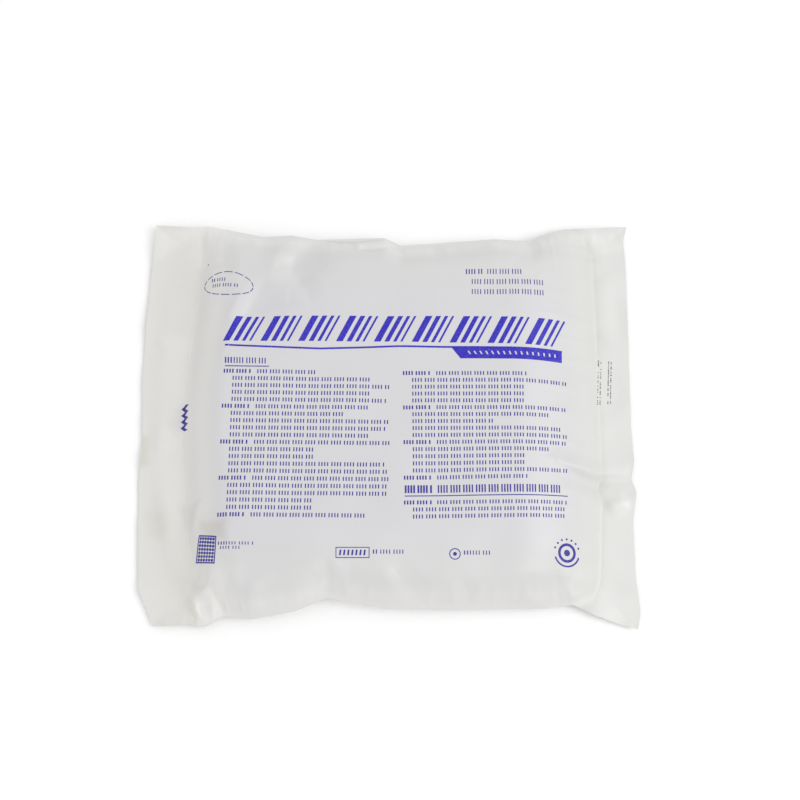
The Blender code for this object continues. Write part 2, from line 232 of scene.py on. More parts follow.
# Painted light and shade of the front film's facets and creases, in millimetres: brightness (or one each
# for red, green and blue), softness of the sides, corners
FACET_LIGHT_AND_SHADE = [
    (1.05, 6, [(-138.5, 146.0), (-122.0, 146.0), (-117.0, 111.0), (-140.0, 114.0)]),
    (0.975, 7, [(-149.5, 146.0), (-139.5, 146.0), (-140.5, 128.0), (-148.0, 128.0)]),
    (1.025, 14, [(-124.0, 140.0), (-90.0, 136.0), (-88.0, 114.0), (-118.0, 110.0)]),
    (0.86, 1, [(-45.6, 131.6), (-32.5, 130.4), (-23.0, 130.5), (-12.9, 131.6), (-3.5, 132.6), (-3.5, 131.6),
               (-12.9, 130.4), (-23.0, 129.3), (-32.5, 129.2), (-45.6, 130.5)]),
    (0.92, 1, [(-19.0, 119.7), (-12.6, 119.3), (-6.9, 119.6), (-1.9, 120.6), (-1.9, 119.4), (-6.9, 118.3),
               (-12.6, 118.0), (-19.0, 118.3)]),
    (1.05, 8, [(110.0, 132.0), (146.0, 136.0), (146.0, 124.0), (110.0, 122.0)]),
    (0.967, 4, [(146.5, 142.0), (157.5, 142.0), (157.0, 118.0), (146.5, 118.0)]),
    (1.04, 5, [(-168.4, 142.5), (-142.7, 143.0), (-146.3, 136.5), (-170.0, 119.6)]),
    (0.97, 9, [(-131.3, 127.1), (-115.5, 118.8), (-113.1, 107.3), (-130.9, 111.8)]),
    (1.03, 4, [(-67.4, 132.9), (-49.2, 130.6), (-58.6, 127.6), (-67.1, 112.8), (-69.2, 100.7),
               (-79.0, 119.7)]),
    (0.985, 4, [(-67.1, 112.8), (-58.5, 126.8), (-46.0, 123.0), (-40.4, 107.3), (-54.8, 88.9),
               (-66.5, 98.3)]),
    (1.025, 4, [(-85.8, 95.9), (-94.3, 78.5), (-104.5, 63.3), (-111.2, 68.0), (-100.6, 85.4),
               (-93.2, 94.5)]),
    (0.98, 4, [(-84.8, 92.6), (-68.3, 93.5), (-60.4, 74.9), (-95.5, 70.8)]),
    (1.06, 2, [(-20.7, 129.7), (-2.1, 132.4), (6.8, 126.8), (-19.8, 120.0)]),
    (1.04, 5, [(123.4, 139.9), (172.2, 141.3), (173.1, 127.8), (150.8, 123.8), (147.1, 136.5),
               (124.9, 133.9)]),
    (0.96, 3, [(145.9, -43.7), (170.5, -45.5), (159.7, -54.2)]),
    (1.02, 4, [(126.7, -129.3), (150.4, -117.9), (168.1, -124.7), (170.5, -143.0), (130.8, -130.4)]),
    (1.06, 1.5, [(-117.1, -108.8), (-120.0, -116.5), (-128.5, -122.6), (-129.8, -131.9), (-123.6, -143.1),
               (-111.3, -135.2), (-114.5, -126.5), (-119.0, -116.5)]),
    (1.05, 4, [(-134.5, -104.0), (-122.5, -104.0), (-122.5, -114.0), (-128.5, -121.0), (-136.5, -116.0)]),
    (1.045, 6, [(-138.5, -116.0), (-128.5, -121.0), (-130.0, -125.9), (-130.5, -140.0), (-139.0, -134.0)]),
    (1.02, 8, [(-46.0, 126.0), (3.0, 122.0), (9.0, 122.5), (32.0, 124.5), (32.0, 114.0), (-46.0, 114.0)]),
    (0.965, 12, [(96.0, -94.0), (117.0, -94.0), (117.0, -112.0), (96.0, -112.0)]),
    (0.975, 6, [(32.0, -119.5), (98.0, -119.5), (98.0, -129.5), (32.0, -129.5)]),
    (1.018, 30, [(150.0, 0.0), (178.0, 0.0), (178.0, -145.0), (140.0, -145.0)]),
    (1.045, 5, [(-36.0, -101.0), (-24.0, -101.0), (-24.0, -113.0), (-34.0, -115.0)]),
    (1.035, 8, [(-164.0, 62.0), (-139.0, 62.0), (-138.0, 0.0), (-136.0, -60.0), (-160.0, -60.0)]),
    (1.07, 4, [(-131.0, -119.5), (-119.0, -119.5), (-119.0, -129.0), (-131.0, -129.0)]),
    (1.04, 10, [(-116.0, -104.0), (-96.0, -104.0), (-96.0, -126.0), (-112.0, -131.0)]),
    (1.015, 6, [(118.0, -102.0), (146.0, -102.0), (146.0, -119.0), (126.0, -128.0), (118.0, -124.0)]),
    ((1.0, 1.0, 0.975), 3, [(-151.5, -108.4), (-147.1, -97.6), (-138.2, -93.0), (-129.0, -122.2),
               (-129.8, -131.9),
                (-124.1, -142.6), (-135.7, -141.7), (-144.5, -134.0), (-152.2, -117.9)]),
    (1.025, 40, [(-45.0, -80.0), (75.0, -80.0), (75.0, -130.0), (-45.0, -124.0)]),
    (0.98, 3, [(-0.1, -101.2), (8.3, -108.1), (16.3, -117.1), (23.6, -128.7), (15.5, -127.5),
               (8.3, -115.0)]),
    ((0.94, 0.94, 0.915), 10, [(-167.4, -66.4), (-155.4, -66.6), (-152.2, -75.9), (-156.6, -83.8),
               (-166.5, -81.9)]),
    ((0.887, 0.887, 0.835), 7, [(-178.0, -10.0), (-170.0, -12.0), (-168.0, -32.0), (-178.0, -36.0)]),
    ((0.885, 0.88, 0.85), 7, [(-127.8, -74.1), (-109.2, -74.2), (-107.9, -86.4), (-121.4, -85.5)]),
    (0.97, 4, [(-139.3, -62.1), (-127.9, -58.0), (-132.7, -73.1), (-135.9, -80.7)]),
]

# Cells across each film: the strip's share of the length, number of cells
CELLS_ALONG_X = [(0.095, 34), (0.105, 46), (0.550, 124), (0.185, 56), (0.065, 24)]
CELLS_ALONG_Y = [(0.092, 38), (0.816, 150), (0.092, 38)]

# Print: its height above the film, and the longest cell of its meshes
INK_LIFT = 0.00010
INK_GRAIN = 0.0008

# Blocks of print on the film, in millimetres: far left, far right, near left and near right corners
TITLE_BLOCK = ((-111.5, 68.6), (126.7, 68.1), (-115.3, 50.9), (121.4, 48.4))
LEFT_BLOCK = ((-112.9, 30.3), (3.2, 28.7), (-114.3, -73.9), (0.7, -75.0))
RIGHT_BLOCK = ((10.8, 28.7), (126.0, 28.4), (11.5, -49.3), (124.1, -47.3))
NEAR_RIGHT_BLOCK = ((11.5, -61.3), (123.5, -59.9), (11.4, -75.6), (123.0, -73.6))
TOP_BLOCK = ((55.3, 103.0), (131.2, 104.5), (55.0, 80.8), (131.9, 81.6))
HEADING_BLOCK = ((-112.5, 38.9), (-81.9, 38.0), (-112.3, 33.8), (-81.8, 33.3))
BOLD_BLOCK = ((12.0, -51.0), (123.4, -49.4), (12.0, -57.2), (123.4, -55.6))
BANNER = ((44.0, 46.3), (122.7, 46.2), (50.7, 37.8), (122.4, 37.4))
UNDERLINE = [(-112.9, 48.4), (-47.4, 45.4), (8.8, 46.9), (43.5, 46.6), (122.8, 46.2)]
CODE_BLOCK = ((-128.6, -82.5), (-114.3, -84.6), (-131.4, -101.0), (-115.3, -102.8))
EMBLEM_BLOCK = ((-126.0, 100.4), (-102.5, 95.5), (-126.5, 91.9), (-103.0, 87.5))
SYMBOL_BOX = ((-34.1, -92.3), (-11.5, -92.3), (-34.0, -99.5), (-11.5, -99.6))
STAMP_BLOCK = ((151.6, 43.9), (160.7, 42.9), (149.5, 10.8), (158.8, 10.2))
SMALL_ROWS = [
    ((-113.0, -88.4), (-84.5, -88.8), (-113.0, -94.2), (-84.5, -94.6), 2),
    ((-9.2, -94.0), (15.4, -94.0), (-9.2, -98.0), (15.4, -98.0), 1),
    ((51.3, -94.6), (71.3, -94.6), (51.3, -98.6), (71.3, -98.6), 1),
]

# Centres of round marks, and the parts of the other prints, in millimetres or shares of a block
OVAL_CENTRE = (-113.6, 93.7)
LONE_DOT = (-130.5, 113.9)
RING_CENTRE = (45.3, -96.9)
BADGE_CENTRE = (121.7, -95.2)
BADGE_DOTS_RADIUS = 9.2
ZIGZAG_TOP = 11.0
ZIGZAG_STEP = 4.6
UNDERLINE_WIDTH = 1.25
TITLE_GROUPS = 9
TITLE_BARS = (0.0195, 0.0140, 0.0095, 0.0060)
TITLE_GAP = 0.0115
TITLE_SLANT = 0.022
BANNER_WINDOWS = 16
STAMP_ROWS = 27

# Colours, linear
PACK_TINT = (0.604, 0.600, 0.616)  # over the gown
BORDER_TINT = (0.606, 0.605, 0.603)  # over the gown, near the long sides
SIDE_TINT = (0.657, 0.651, 0.645)  # the slopes along the two creases
LEFT_TINT = (0.700, 0.692, 0.676)  # the steep left slope, which hangs free, lighter with painted light against the shade on it
# The right slope, which hangs free, darker with painted shade against the softbox's light on it
RIGHT_TINT = (0.606, 0.606, 0.585)
LEFT_FLANGE_TINT = (0.676, 0.668, 0.645)  # two films, one on the other
# The right flange: two films, one on the other, lighter than the left with painted light from the right
RIGHT_FLANGE_TINT = (0.684, 0.684, 0.668)
CLOUD_TINT = (0.50, 0.50, 0.51)  # mixed into the film by up to the share that follows
CLOUD_SHARE = 0.10
INK = (0.024, 0.016, 0.425)
THIN_INK = (0.032, 0.022, 0.280)
STAMP_INK = (0.030, 0.030, 0.034)
GOWN_BLUE = (0.105, 0.300, 0.520)

# Painted light and shade of the front film beside the feet of its end slopes, as shares
FOOT_GLOW = 0.10  # painted light along the left foot, which evens out the shade that falls in the corner there
LEFT_FOOT_SHADE = 0.010  # painted shade in bands above the left and the right foot
RIGHT_FOOT_SHADE = 0.03


def track(rows, column):
    """A function that runs straight from row to row, as film does between its creases, with its
    corners slightly rounded."""
    places = [row[0] for row in rows]
    values = [row[column] for row in rows]

    def value(at):
        return sum(np.interp(at + shift, places, values) for shift in CORNER_SHIFTS) / len(CORNER_SHIFTS)

    return value


near_y, near_crease = track(NEAR_SIDE, 1), track(NEAR_SIDE, 2)
far_y, far_crease = track(FAR_SIDE, 1), track(FAR_SIDE, 2)
left_x, left_edge = track(LEFT_END, 1), track(LEFT_END, 2)
right_x, right_edge = track(RIGHT_END, 1), track(RIGHT_END, 2)
left_foot, right_foot = track(LEFT_FOOT, 1), track(RIGHT_FOOT, 1)


def smooth(value):
    """0 to 1, level at both ends."""
    u = np.clip(value, 0.0, 1.0)
    return u * u * (3 - 2 * u)


def fade(distance, reach):
    return (1 - np.clip(distance / reach, 0, 1)) ** 2


def shoulder(distance, length, power):
    """0 at the foot of a slope, 1 past its length, and rounded where it meets the level top."""
    left_over = np.hypot(1 - np.clip(distance / length, 0, 1), TOP_ROUNDING) ** power
    top, foot = TOP_ROUNDING**power, math.hypot(1, TOP_ROUNDING) ** power
    return (foot - left_over) / (foot - top)


def near_line(x, y, start, end):
    """How far along a line each point lies, 0 to 1, and how far to the left of it."""
    run = np.subtract(end, start)
    length = np.hypot(*run)
    along = ((x - start[0]) * run[0] + (y - start[1]) * run[1]) / length**2
    clipped = np.clip(along, 0, 1)
    away = np.hypot(x - start[0] - clipped * run[0], y - start[1] - clipped * run[1])
    side = run[0] * (y - start[1]) - run[1] * (x - start[0])
    return clipped, np.where(side >= 0, away, -away)


def waves(rows, x, y):
    """Broad ridges and hollows, each fading out at both its ends."""
    total = np.zeros_like(x)
    for x0, y0, x1, y1, height, half_width in rows:
        along, away = near_line(x, y, (x0, y0), (x1, y1))
        ends = 0.4 + 0.6 * smooth(np.minimum(along, 1 - along) / 0.4)
        total += height * ends * (1 - smooth(np.abs(away) / half_width))
    return total


def creases(rows, x, y):
    """Sharp ridges and valleys, each fading out at both its ends."""
    total = np.zeros_like(x)
    for points, height, left, right in rows:
        best = np.full_like(x, np.inf)
        offset, place = np.zeros_like(x), np.zeros_like(x)
        stretches = len(points) - 1
        for k in range(stretches):
            along, away = near_line(x, y, points[k], points[k + 1])
            closer = np.abs(away) < best
            best = np.where(closer, np.abs(away), best)
            offset = np.where(closer, away, offset)
            place = np.where(closer, (k + along) / stretches, place)
        width = np.where(offset >= 0, left, right)
        ends = 0.3 + 0.7 * smooth(np.minimum(place, 1 - place) / 0.35)
        softened = np.hypot(offset / width, CREASE_SOFTNESS) - CREASE_SOFTNESS
        total += height * ends * np.clip(1 - softened, 0, 1) ** CREASE_POWER
    return total


def ripples(x, y, length, seed, heading=0.0, fan=math.pi, count=22):
    """A smooth random field, about -1 to 1, of waves that run within a fan of headings."""
    random = np.random.default_rng(seed)
    total = np.zeros_like(x)
    for _ in range(count):
        angle = heading + random.uniform(-fan, fan)
        rate = 2 * math.pi / (length * random.uniform(0.7, 1.5))
        phase = random.uniform(0, 2 * math.pi)
        total += np.cos((x * math.cos(angle) + y * math.sin(angle)) * rate + phase)
    return total / math.sqrt(count / 2)


def pulls(x, y):
    """Fine straight folds that run in from the edges, 0 to 1, sharp at their tops."""
    across = 1 - np.abs(ripples(x, y, 0.026, 5, heading=0.0, fan=0.30))
    along = 1 - np.abs(ripples(x, y, 0.026, 7, heading=math.pi / 2, fan=0.30))
    sides = smooth(np.abs(y) / 0.03 - 3.0)
    ends = smooth(np.abs(x) / 0.03 - 3.0) * (1 - sides)
    return np.clip(across, 0, 1) ** 1.5 * sides + np.clip(along, 0, 1) ** 1.5 * ends


def slopes(x, y):
    """How far up each point lies on the left slope, on the right slope and on the two side slopes."""
    left = shoulder(x - left_foot(y), LEFT_SHOULDER, END_POWER)
    right = shoulder(right_foot(y) - x, RIGHT_SHOULDER, END_POWER)
    near = shoulder(y - near_y(x), SIDE_SHOULDER, SIDE_POWER)
    far = shoulder(far_y(x) - y, SIDE_SHOULDER, SIDE_POWER)
    return left, right, near * far


def pack(x, y):
    """0 on the flanges and at the creases, 1 on the level top."""
    left, right, sides = slopes(x, y)
    return left * right * sides


def facet_share(corners, softness, x, y):
    """1 inside a facet and 0 outside it, with sides of some softness."""
    nearest, within = np.full_like(x, np.inf), np.zeros(x.shape, bool)
    for start, end in zip(corners, corners[1:] + corners[:1]):
        nearest = np.minimum(nearest, np.abs(near_line(x, y, start, end)[1]))
        if start[1] != end[1]:
            crossing = start[0] + (y - start[1]) * (end[0] - start[0]) / (end[1] - start[1])
            within ^= ((start[1] > y) != (end[1] > y)) & (x < crossing)
    return smooth(0.5 + np.where(within, nearest, -nearest) / softness)


def film_tint_with_painted_light(x, y):
    """The film's colour: it is greyer where it lies on the gown than where it hangs free of it, with
    painted light on the steep left slope, painted shade on the right slope and painted light on the right
    flange.
    """
    left, right, sides = slopes(x, y)
    from_left, from_right = x - left_foot(y), right_foot(y) - x
    tint = np.ones((len(x), 1)) * PACK_TINT
    for share, other in (
        (smooth((np.abs(y) - 0.080) / 0.025), BORDER_TINT),
        (1 - smooth((sides - 0.55) / 0.40), SIDE_TINT),
        # painted shade on the right slope
        (1 - smooth(right / 0.85), RIGHT_TINT),
        # painted light on the steep left slope
        (1 - smooth((from_left - 0.015) / 0.019), LEFT_TINT),
        (smooth(0.5 - from_left / 0.005), LEFT_FLANGE_TINT),
        # two films on the right flange, lighter with painted light
        (smooth(0.5 - (from_right + 0.0010) / 0.010), RIGHT_FLANGE_TINT),
    ):
        tint = tint + share[:, None] * (np.array(other) - tint)
    return tint


def front_tint(x, y):
    """The front film's colour, with painted light and shade: facets lighter or darker as they would catch
    more or less light, painted light along the foot of the steep left slope, and painted shade in bands
    above both feet."""
    from_left, from_right = x - left_foot(y), right_foot(y) - x
    # Painted light along the left foot, and painted shade in bands above both feet
    reach = np.where(from_left < -0.001, 0.010, 0.004)
    glow = FOOT_GLOW * smooth((y + 0.120) / 0.015)
    shade = 1 + glow * np.exp(-((from_left + 0.001) / reach) ** 2)
    shade -= LEFT_FOOT_SHADE * smooth(from_left / 0.001) * (1 - smooth(from_left / 0.018))
    band = smooth((from_right - 0.008) / 0.020) * (1 - smooth((from_right - 0.030) / 0.030))
    shade -= RIGHT_FOOT_SHADE * band
    tint = film_tint_with_painted_light(x, y) * shade[:, None]
    # painted light and shade of the facets and creases
    for brightness, softness, corners in FACET_LIGHT_AND_SHADE:
        share = facet_share(corners, softness, x * 1000, y * 1000)
        tint *= 1 + share[:, None] * (np.array(brightness) - 1)
    return tint


def lift(x, y):
    """Height of the back film: 0 where it rests, and up at the creases and flanges."""
    sides = np.maximum(
        near_crease(x) * fade(y - near_y(x), CREASE_REACH),
        far_crease(x) * fade(far_y(x) - y, CREASE_REACH),
    )
    ends = np.maximum(
        left_edge(y) * fade(x - left_x(y), FLANGE_REACH),
        right_edge(y) * fade(right_x(y) - x, FLANGE_REACH),
    )
    inside = np.minimum(x - left_foot(y), right_foot(y) - x)
    flange = 1 - smooth(inside / FOOT_REACH)
    small = FLANGE_RIPPLE * (1 + ripples(x, y, 0.030, 11)) * flange
    rest = waves(FLANGE_WAVES, x, y) * flange
    height = np.maximum(sides, ends) + rest + np.clip(small, 0, None)
    return height + SIDE_PULLS * pulls(x, y) * smooth(sides / 0.003) * (1 - smooth(sides / 0.008))


def back_height(x, y):
    """Height of the back film, with the shallow creases that lie under the gown."""
    slack = BACK_SLACK * (1 + ripples(x, y, 0.040, 13))
    dents = creases(BACK_CREASES, x, y) + np.clip(slack, 0, None)
    return lift(x, y) + np.minimum(dents, GOWN_ROOM) * smooth(pack(x, y) * 4)


def front_height(x, y):
    """Height of the front film, with its folds, its creases and its fine wrinkles."""
    low, full = lift(x, y), pack(x, y)
    height = low + SEAM + (TOP - low - SEAM) * full + waves(PACK_FOLDS, x, y) * np.sqrt(full)
    edge = np.minimum(np.minimum(y - near_y(x), far_y(x) - y), np.minimum(x - left_x(y), right_x(y) - x))
    free = smooth(edge / FREE_EDGE)
    sloping = smooth((1 - full) * 3) * smooth(full * 4)
    slack = FRONT_SLACK * ripples(x, y, 0.055, 3) * full
    height = height + free * (creases(CREASES, x, y) + slack + SLOPE_PULLS * pulls(x, y) * sloping)
    return np.maximum(height, low + SEAM * np.minimum(free + 0.2, 1))


def spaced(strips):
    places, start = [0.0], 0.0
    for share, cells in strips:
        places += [start + share * (i + 1) / cells for i in range(cells)]
        start += share
    return np.array(places) / start


def outline_patch(s, t):
    """Points that lie s of the way from the left end and t of the way from the near side."""
    x0, x1, x2, x3 = NEAR_SIDE[0][0], NEAR_SIDE[-1][0], FAR_SIDE[0][0], FAR_SIDE[-1][0]
    y0, y1, y2, y3 = LEFT_END[0][0], LEFT_END[-1][0], RIGHT_END[0][0], RIGHT_END[-1][0]
    near_x, far_x = x0 + (x1 - x0) * s, x2 + (x3 - x2) * s
    lefts, rights = y0 + (y1 - y0) * t, y2 + (y3 - y2) * t
    corner_x = (1 - t) * ((1 - s) * x0 + s * x1) + t * ((1 - s) * x2 + s * x3)
    corner_y = (1 - t) * ((1 - s) * y0 + s * y2) + t * ((1 - s) * y1 + s * y3)
    x = (1 - t) * near_x + t * far_x + (1 - s) * left_x(lefts) + s * right_x(rights) - corner_x
    y = (1 - t) * near_y(near_x) + t * far_y(far_x) + (1 - s) * lefts + s * rights - corner_y
    return x, y


def grid_mesh(name, height, tint_of):
    """A film as one sheet over the outline of the pouch, with its colour in a point attribute."""
    t, s = np.meshgrid(spaced(CELLS_ALONG_Y), spaced(CELLS_ALONG_X), indexing="ij")
    x, y = outline_patch(s, t)
    points = np.stack([x, y, height(x, y)], -1).reshape(-1, 3)
    rows, columns = x.shape
    index = np.arange(rows * columns).reshape(rows, columns)
    quads = np.stack([index[:-1, :-1], index[:-1, 1:], index[1:, 1:], index[1:, :-1]], -1).reshape(-1, 4)
    mesh = bpy.data.meshes.new(name)
    mesh.from_pydata(points.tolist(), [], quads.tolist())
    mesh.update()
    mesh.shade_smooth()
    film = bpy.data.objects.new(name, mesh)
    bpy.context.collection.objects.link(film)
    flat = np.stack([x, y], -1).reshape(-1, 2)
    tint = np.ones((len(flat), 4))
    tint[:, :3] = tint_of(flat[:, 0], flat[:, 1])
    colours = mesh.color_attributes.new("film_tint_with_painted_light", "FLOAT_COLOR", "POINT")
    colours.data.foreach_set("color", tint.ravel())
    return film


def node(material, kind, **inputs):
    """A shader node with its settings and the values of its inputs."""
    made = material.node_tree.nodes.new(kind)
    for name, value in inputs.items():
        if name in made.inputs:
            made.inputs[name].default_value = value
        else:
            setattr(made, name, value)
    return made


def new_material(name, roughness):
    material = bpy.data.materials.new(name)
    material.use_nodes = True
    shader = material.node_tree.nodes["Principled BSDF"]
    shader.inputs["Roughness"].default_value = roughness
    return material, shader


def mix(material, factor, first, second):
    """A colour mixed by a factor; each of the two is a colour or another node's output."""
    made = node(material, "ShaderNodeMix", data_type="RGBA")
    link = material.node_tree.links.new
    link(factor, made.inputs["Factor"])
    for socket, value in ((made.inputs[6], first), (made.inputs[7], second)):
        if isinstance(value, bpy.types.NodeSocket):
            link(value, socket)
        else:
            socket.default_value = (*value, 1.0)
    return made.outputs[2]


def film_material():
    """Milky polyethylene, faintly clouded, with a slightly uneven surface."""
    material, shader = new_material("milky_film", 0.40)
    link = material.node_tree.links.new
    place = node(material, "ShaderNodeTexCoord")
    tint = node(material, "ShaderNodeAttribute", attribute_name="film_tint_with_painted_light")
    cloud = node(material, "ShaderNodeTexNoise", Scale=38.0, Detail=4.0, Roughness=0.55)
    link(place.outputs["Object"], cloud.inputs["Vector"])
    spread = node(material, "ShaderNodeMapRange")
    spread.inputs["To Min"].default_value = 0.0
    spread.inputs["To Max"].default_value = CLOUD_SHARE
    link(cloud.outputs["Fac"], spread.inputs["Value"])
    colour = mix(material, spread.outputs["Result"], tint.outputs["Color"], CLOUD_TINT)
    link(colour, shader.inputs["Base Color"])
    shader.inputs["Specular IOR Level"].default_value = 0.45
    fine = node(material, "ShaderNodeTexNoise", Scale=520.0, Detail=3.0, Roughness=0.5)
    link(place.outputs["Object"], fine.inputs["Vector"])
    broad = node(material, "ShaderNodeTexNoise", Scale=95.0, Detail=5.0, Roughness=0.6)
    link(place.outputs["Object"], broad.inputs["Vector"])
    first = node(material, "ShaderNodeBump", Strength=0.14, Distance=0.0004)
    link(broad.outputs["Fac"], first.inputs["Height"])
    second = node(material, "ShaderNodeBump", Strength=0.06, Distance=0.0001)
    link(fine.outputs["Fac"], second.inputs["Height"])
    link(first.outputs["Normal"], second.inputs["Normal"])
    link(second.outputs["Normal"], shader.inputs["Normal"])
    return material


def ink_material(name, colour):
    """Printing ink: a little uneven, as it is laid on film."""
    material, shader = new_material(name, 0.42)
    link = material.node_tree.links.new
    place = node(material, "ShaderNodeTexCoord")
    grain = node(material, "ShaderNodeTexNoise", Scale=900.0, Detail=2.0)
    link(place.outputs["Object"], grain.inputs["Vector"])
    paler = tuple(0.90 * c + 0.10 * p for c, p in zip(colour, PACK_TINT))
    spread = node(material, "ShaderNodeMapRange")
    spread.inputs["From Min"].default_value = 0.45
    spread.inputs["From Max"].default_value = 0.80
    link(grain.outputs["Fac"], spread.inputs["Value"])
    link(mix(material, spread.outputs["Result"], colour, paler), shader.inputs["Base Color"])
    shader.inputs["Specular IOR Level"].default_value = 0.3
    return material


def gown_material():
    """Bonded non-woven: matte blue, with a fine pattern of bond points."""
    material, shader = new_material("gown_fabric", 0.88)
    link = material.node_tree.links.new
    place = node(material, "ShaderNodeTexCoord")
    fibres = node(material, "ShaderNodeTexNoise", Scale=1400.0, Detail=6.0, Roughness=0.7)
    link(place.outputs["Object"], fibres.inputs["Vector"])
    pale = tuple(min(1.0, c * 1.5) for c in GOWN_BLUE)
    link(mix(material, fibres.outputs["Fac"], GOWN_BLUE, pale), shader.inputs["Base Color"])
    bonds = node(material, "ShaderNodeTexVoronoi", Scale=620.0)
    link(place.outputs["Object"], bonds.inputs["Vector"])
    bump = node(material, "ShaderNodeBump", Strength=0.35, Distance=0.0002)
    link(bonds.outputs["Distance"], bump.inputs["Height"])
    link(bump.outputs["Normal"], shader.inputs["Normal"])
    shader.inputs["Sheen Weight"].default_value = 0.25
    return material


def make_films():
    front = grid_mesh("front_film_skin", front_height, front_tint)
    back = grid_mesh("back_film_skin", back_height, film_tint_with_painted_light)
    back.data.flip_normals()
    material = film_material()
    for film, cad_node in ((front, "front_film"), (back, "back_film")):
        film.data.materials.append(material)
        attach(film, "root")
        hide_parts(cad_node)
    return front, back


def make_gown():
    """The folded gown: the solid's form, rounded, and kept just under the front film."""
    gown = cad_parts["folded_gown"].copy()
    gown.data = gown.data.copy()
    gown.name = "gown_layers"
    for key in [key for key in gown.keys() if key.startswith("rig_")]:
        del gown[key]
    gown.parent = None
    bpy.context.collection.objects.link(gown)
    places = np.empty(len(gown.data.vertices) * 3)
    gown.data.vertices.foreach_get("co", places)
    places = places.reshape(-1, 3)
    places[:, 2] = np.minimum(places[:, 2], front_height(places[:, 0], places[:, 1]) - GOWN_ROOM)
    gown.data.vertices.foreach_set("co", places.ravel())
    gown.data.materials.clear()
    gown.data.materials.append(gown_material())
    rounded = gown.modifiers.new("rounded", "SUBSURF")
    rounded.levels = rounded.render_levels = 2
    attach(gown, "root")
    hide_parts("folded_gown")
    return gown


def between(block, u, v):
    """A point of a block of print, u of the way to the right and v of the way to the near side."""
    far_left, far_right, near_left, near_right = (np.array(corner) for corner in block)
    return (1 - v) * ((1 - u) * far_left + u * far_right) + v * ((1 - u) * near_left + u * near_right)


class Ink:
    """Printed marks, as patches that lie on the front film."""

    def __init__(self, film):
        self.film = BVHTree.FromObject(film, bpy.context.evaluated_depsgraph_get())
        self.points, self.faces = [], []

    def patch(self, far_left, far_right, near_left, near_right):
        """A patch between four corners, in millimetres, in cells small enough to follow the film."""
        block = (far_left, far_right, near_left, near_right)
        width = max(math.dist(far_left, far_right), math.dist(near_left, near_right)) / 1000
        height = max(math.dist(far_left, near_left), math.dist(far_right, near_right)) / 1000
        columns, rows = max(1, round(width / INK_GRAIN)), max(1, round(height / INK_GRAIN))
        start = len(self.points)
        for row in range(rows + 1):
            for column in range(columns + 1):
                x, y = between(block, column / columns, row / rows) / 1000
                place, normal, _, _ = self.film.ray_cast(Vector((x, y, 0.1)), Vector((0, 0, -1)))
                self.points.append(place + normal * INK_LIFT)
        for row in range(rows):
            for column in range(columns):
                corner = start + row * (columns + 1) + column
                self.faces.append((corner, corner + columns + 1, corner + columns + 2, corner + 1))

    def piece(self, block, u0, u1, v0, v1, slant=0.0):
        """A part of a block; with a slant its far end lies further right, by that share of the width."""
        corners = [(u0 + slant, v0), (u1 + slant, v0), (u0, v1), (u1, v1)]
        self.patch(*[between(block, u, v) for u, v in corners])

    def arc(self, centre, radii, width, start, end, steps, skew=0.0):
        """A stretch of an oval ring, its angles in turns; a skew lowers its right side."""
        for step in range(steps):
            corners = []
            for share, turn in ((0.5, step + 1), (0.5, step), (-0.5, step + 1), (-0.5, step)):
                angle = 2 * math.pi * (start + (end - start) * turn / steps)
                across = centre[0] + (radii[0] + share * width) * math.cos(angle)
                along = centre[1] + (radii[1] + share * width) * math.sin(angle)
                corners.append((across, along - skew * (across - centre[0])))
            self.patch(*corners)

    def disc(self, centre, radius):
        """A solid dot."""
        self.arc(centre, (radius / 2, radius / 2), radius, 0, 1, 12)

    def frame(self, block, line):
        """The outline of a block; line is its width as a share of the block's sides, across and along."""
        across, along = line
        self.piece(block, 0, 1, 0, along)
        self.piece(block, 0, 1, 1 - along, 1)
        self.piece(block, 0, across, along, 1 - along)
        self.piece(block, 1 - across, 1, along, 1 - along)

    def link(self, name, material):
        mesh = bpy.data.meshes.new(name)
        mesh.from_pydata(self.points, [], self.faces)
        mesh.shade_smooth()
        mesh.materials.append(material)
        marks = bpy.data.objects.new(name, mesh)
        bpy.context.collection.objects.link(marks)
        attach(marks, "root")
        return marks


def hatch_row(ink, block, v0, v1, u0, u1, tick, pitch):
    """A row of even ticks from u0 to u1 across a block, in groups of four."""
    length = math.dist(block[0], block[1])
    at, count = u0, 0
    while at < u1 - tick / length:
        ink.piece(block, at, at + tick / length, v0, v1)
        count += 1
        at += pitch * (1.5 if count % 4 == 0 else 1.0) / length


def print_rows(ink, block, count, seed, tick=0.74, pitch=1.95, share=0.56):
    """Rows of ticks of uneven length, some of them set in, and some that start with bold ticks."""
    random = np.random.default_rng(seed)
    for row in range(count):
        v0 = row / count
        v1 = v0 + share / count
        bold = row % 5 == 0
        start = 0.0 if bold else 0.055
        end = random.choice([1.0, 1.0, 0.97, 0.88, 0.74, 0.55])
        if bold:
            hatch_row(ink, block, v0, v1, start, start + 0.17, tick * 1.3, pitch)
            start += 0.20
        hatch_row(ink, block, v0, v1, start, end, tick, pitch)


def print_title(ink):
    """A band of slanted bars in groups, from broad to narrow in each."""
    for group in range(TITLE_GROUPS):
        at = group / TITLE_GROUPS + 0.003
        for wide in TITLE_BARS:
            ink.piece(TITLE_BLOCK, at, at + wide, 0.0, 1.0, TITLE_SLANT)
            at += wide + TITLE_GAP


def print_underline(ink):
    """The long rule under the title, which follows the sag of the film."""
    height = track(UNDERLINE, 1)
    places = np.linspace(UNDERLINE[0][0], UNDERLINE[-1][0], 40)
    for left, right in zip(places[:-1], places[1:]):
        start, end = float(height(left)), float(height(right))
        below = (left, start - UNDERLINE_WIDTH), (right, end - UNDERLINE_WIDTH)
        ink.patch((left, start), (right, end), *below)


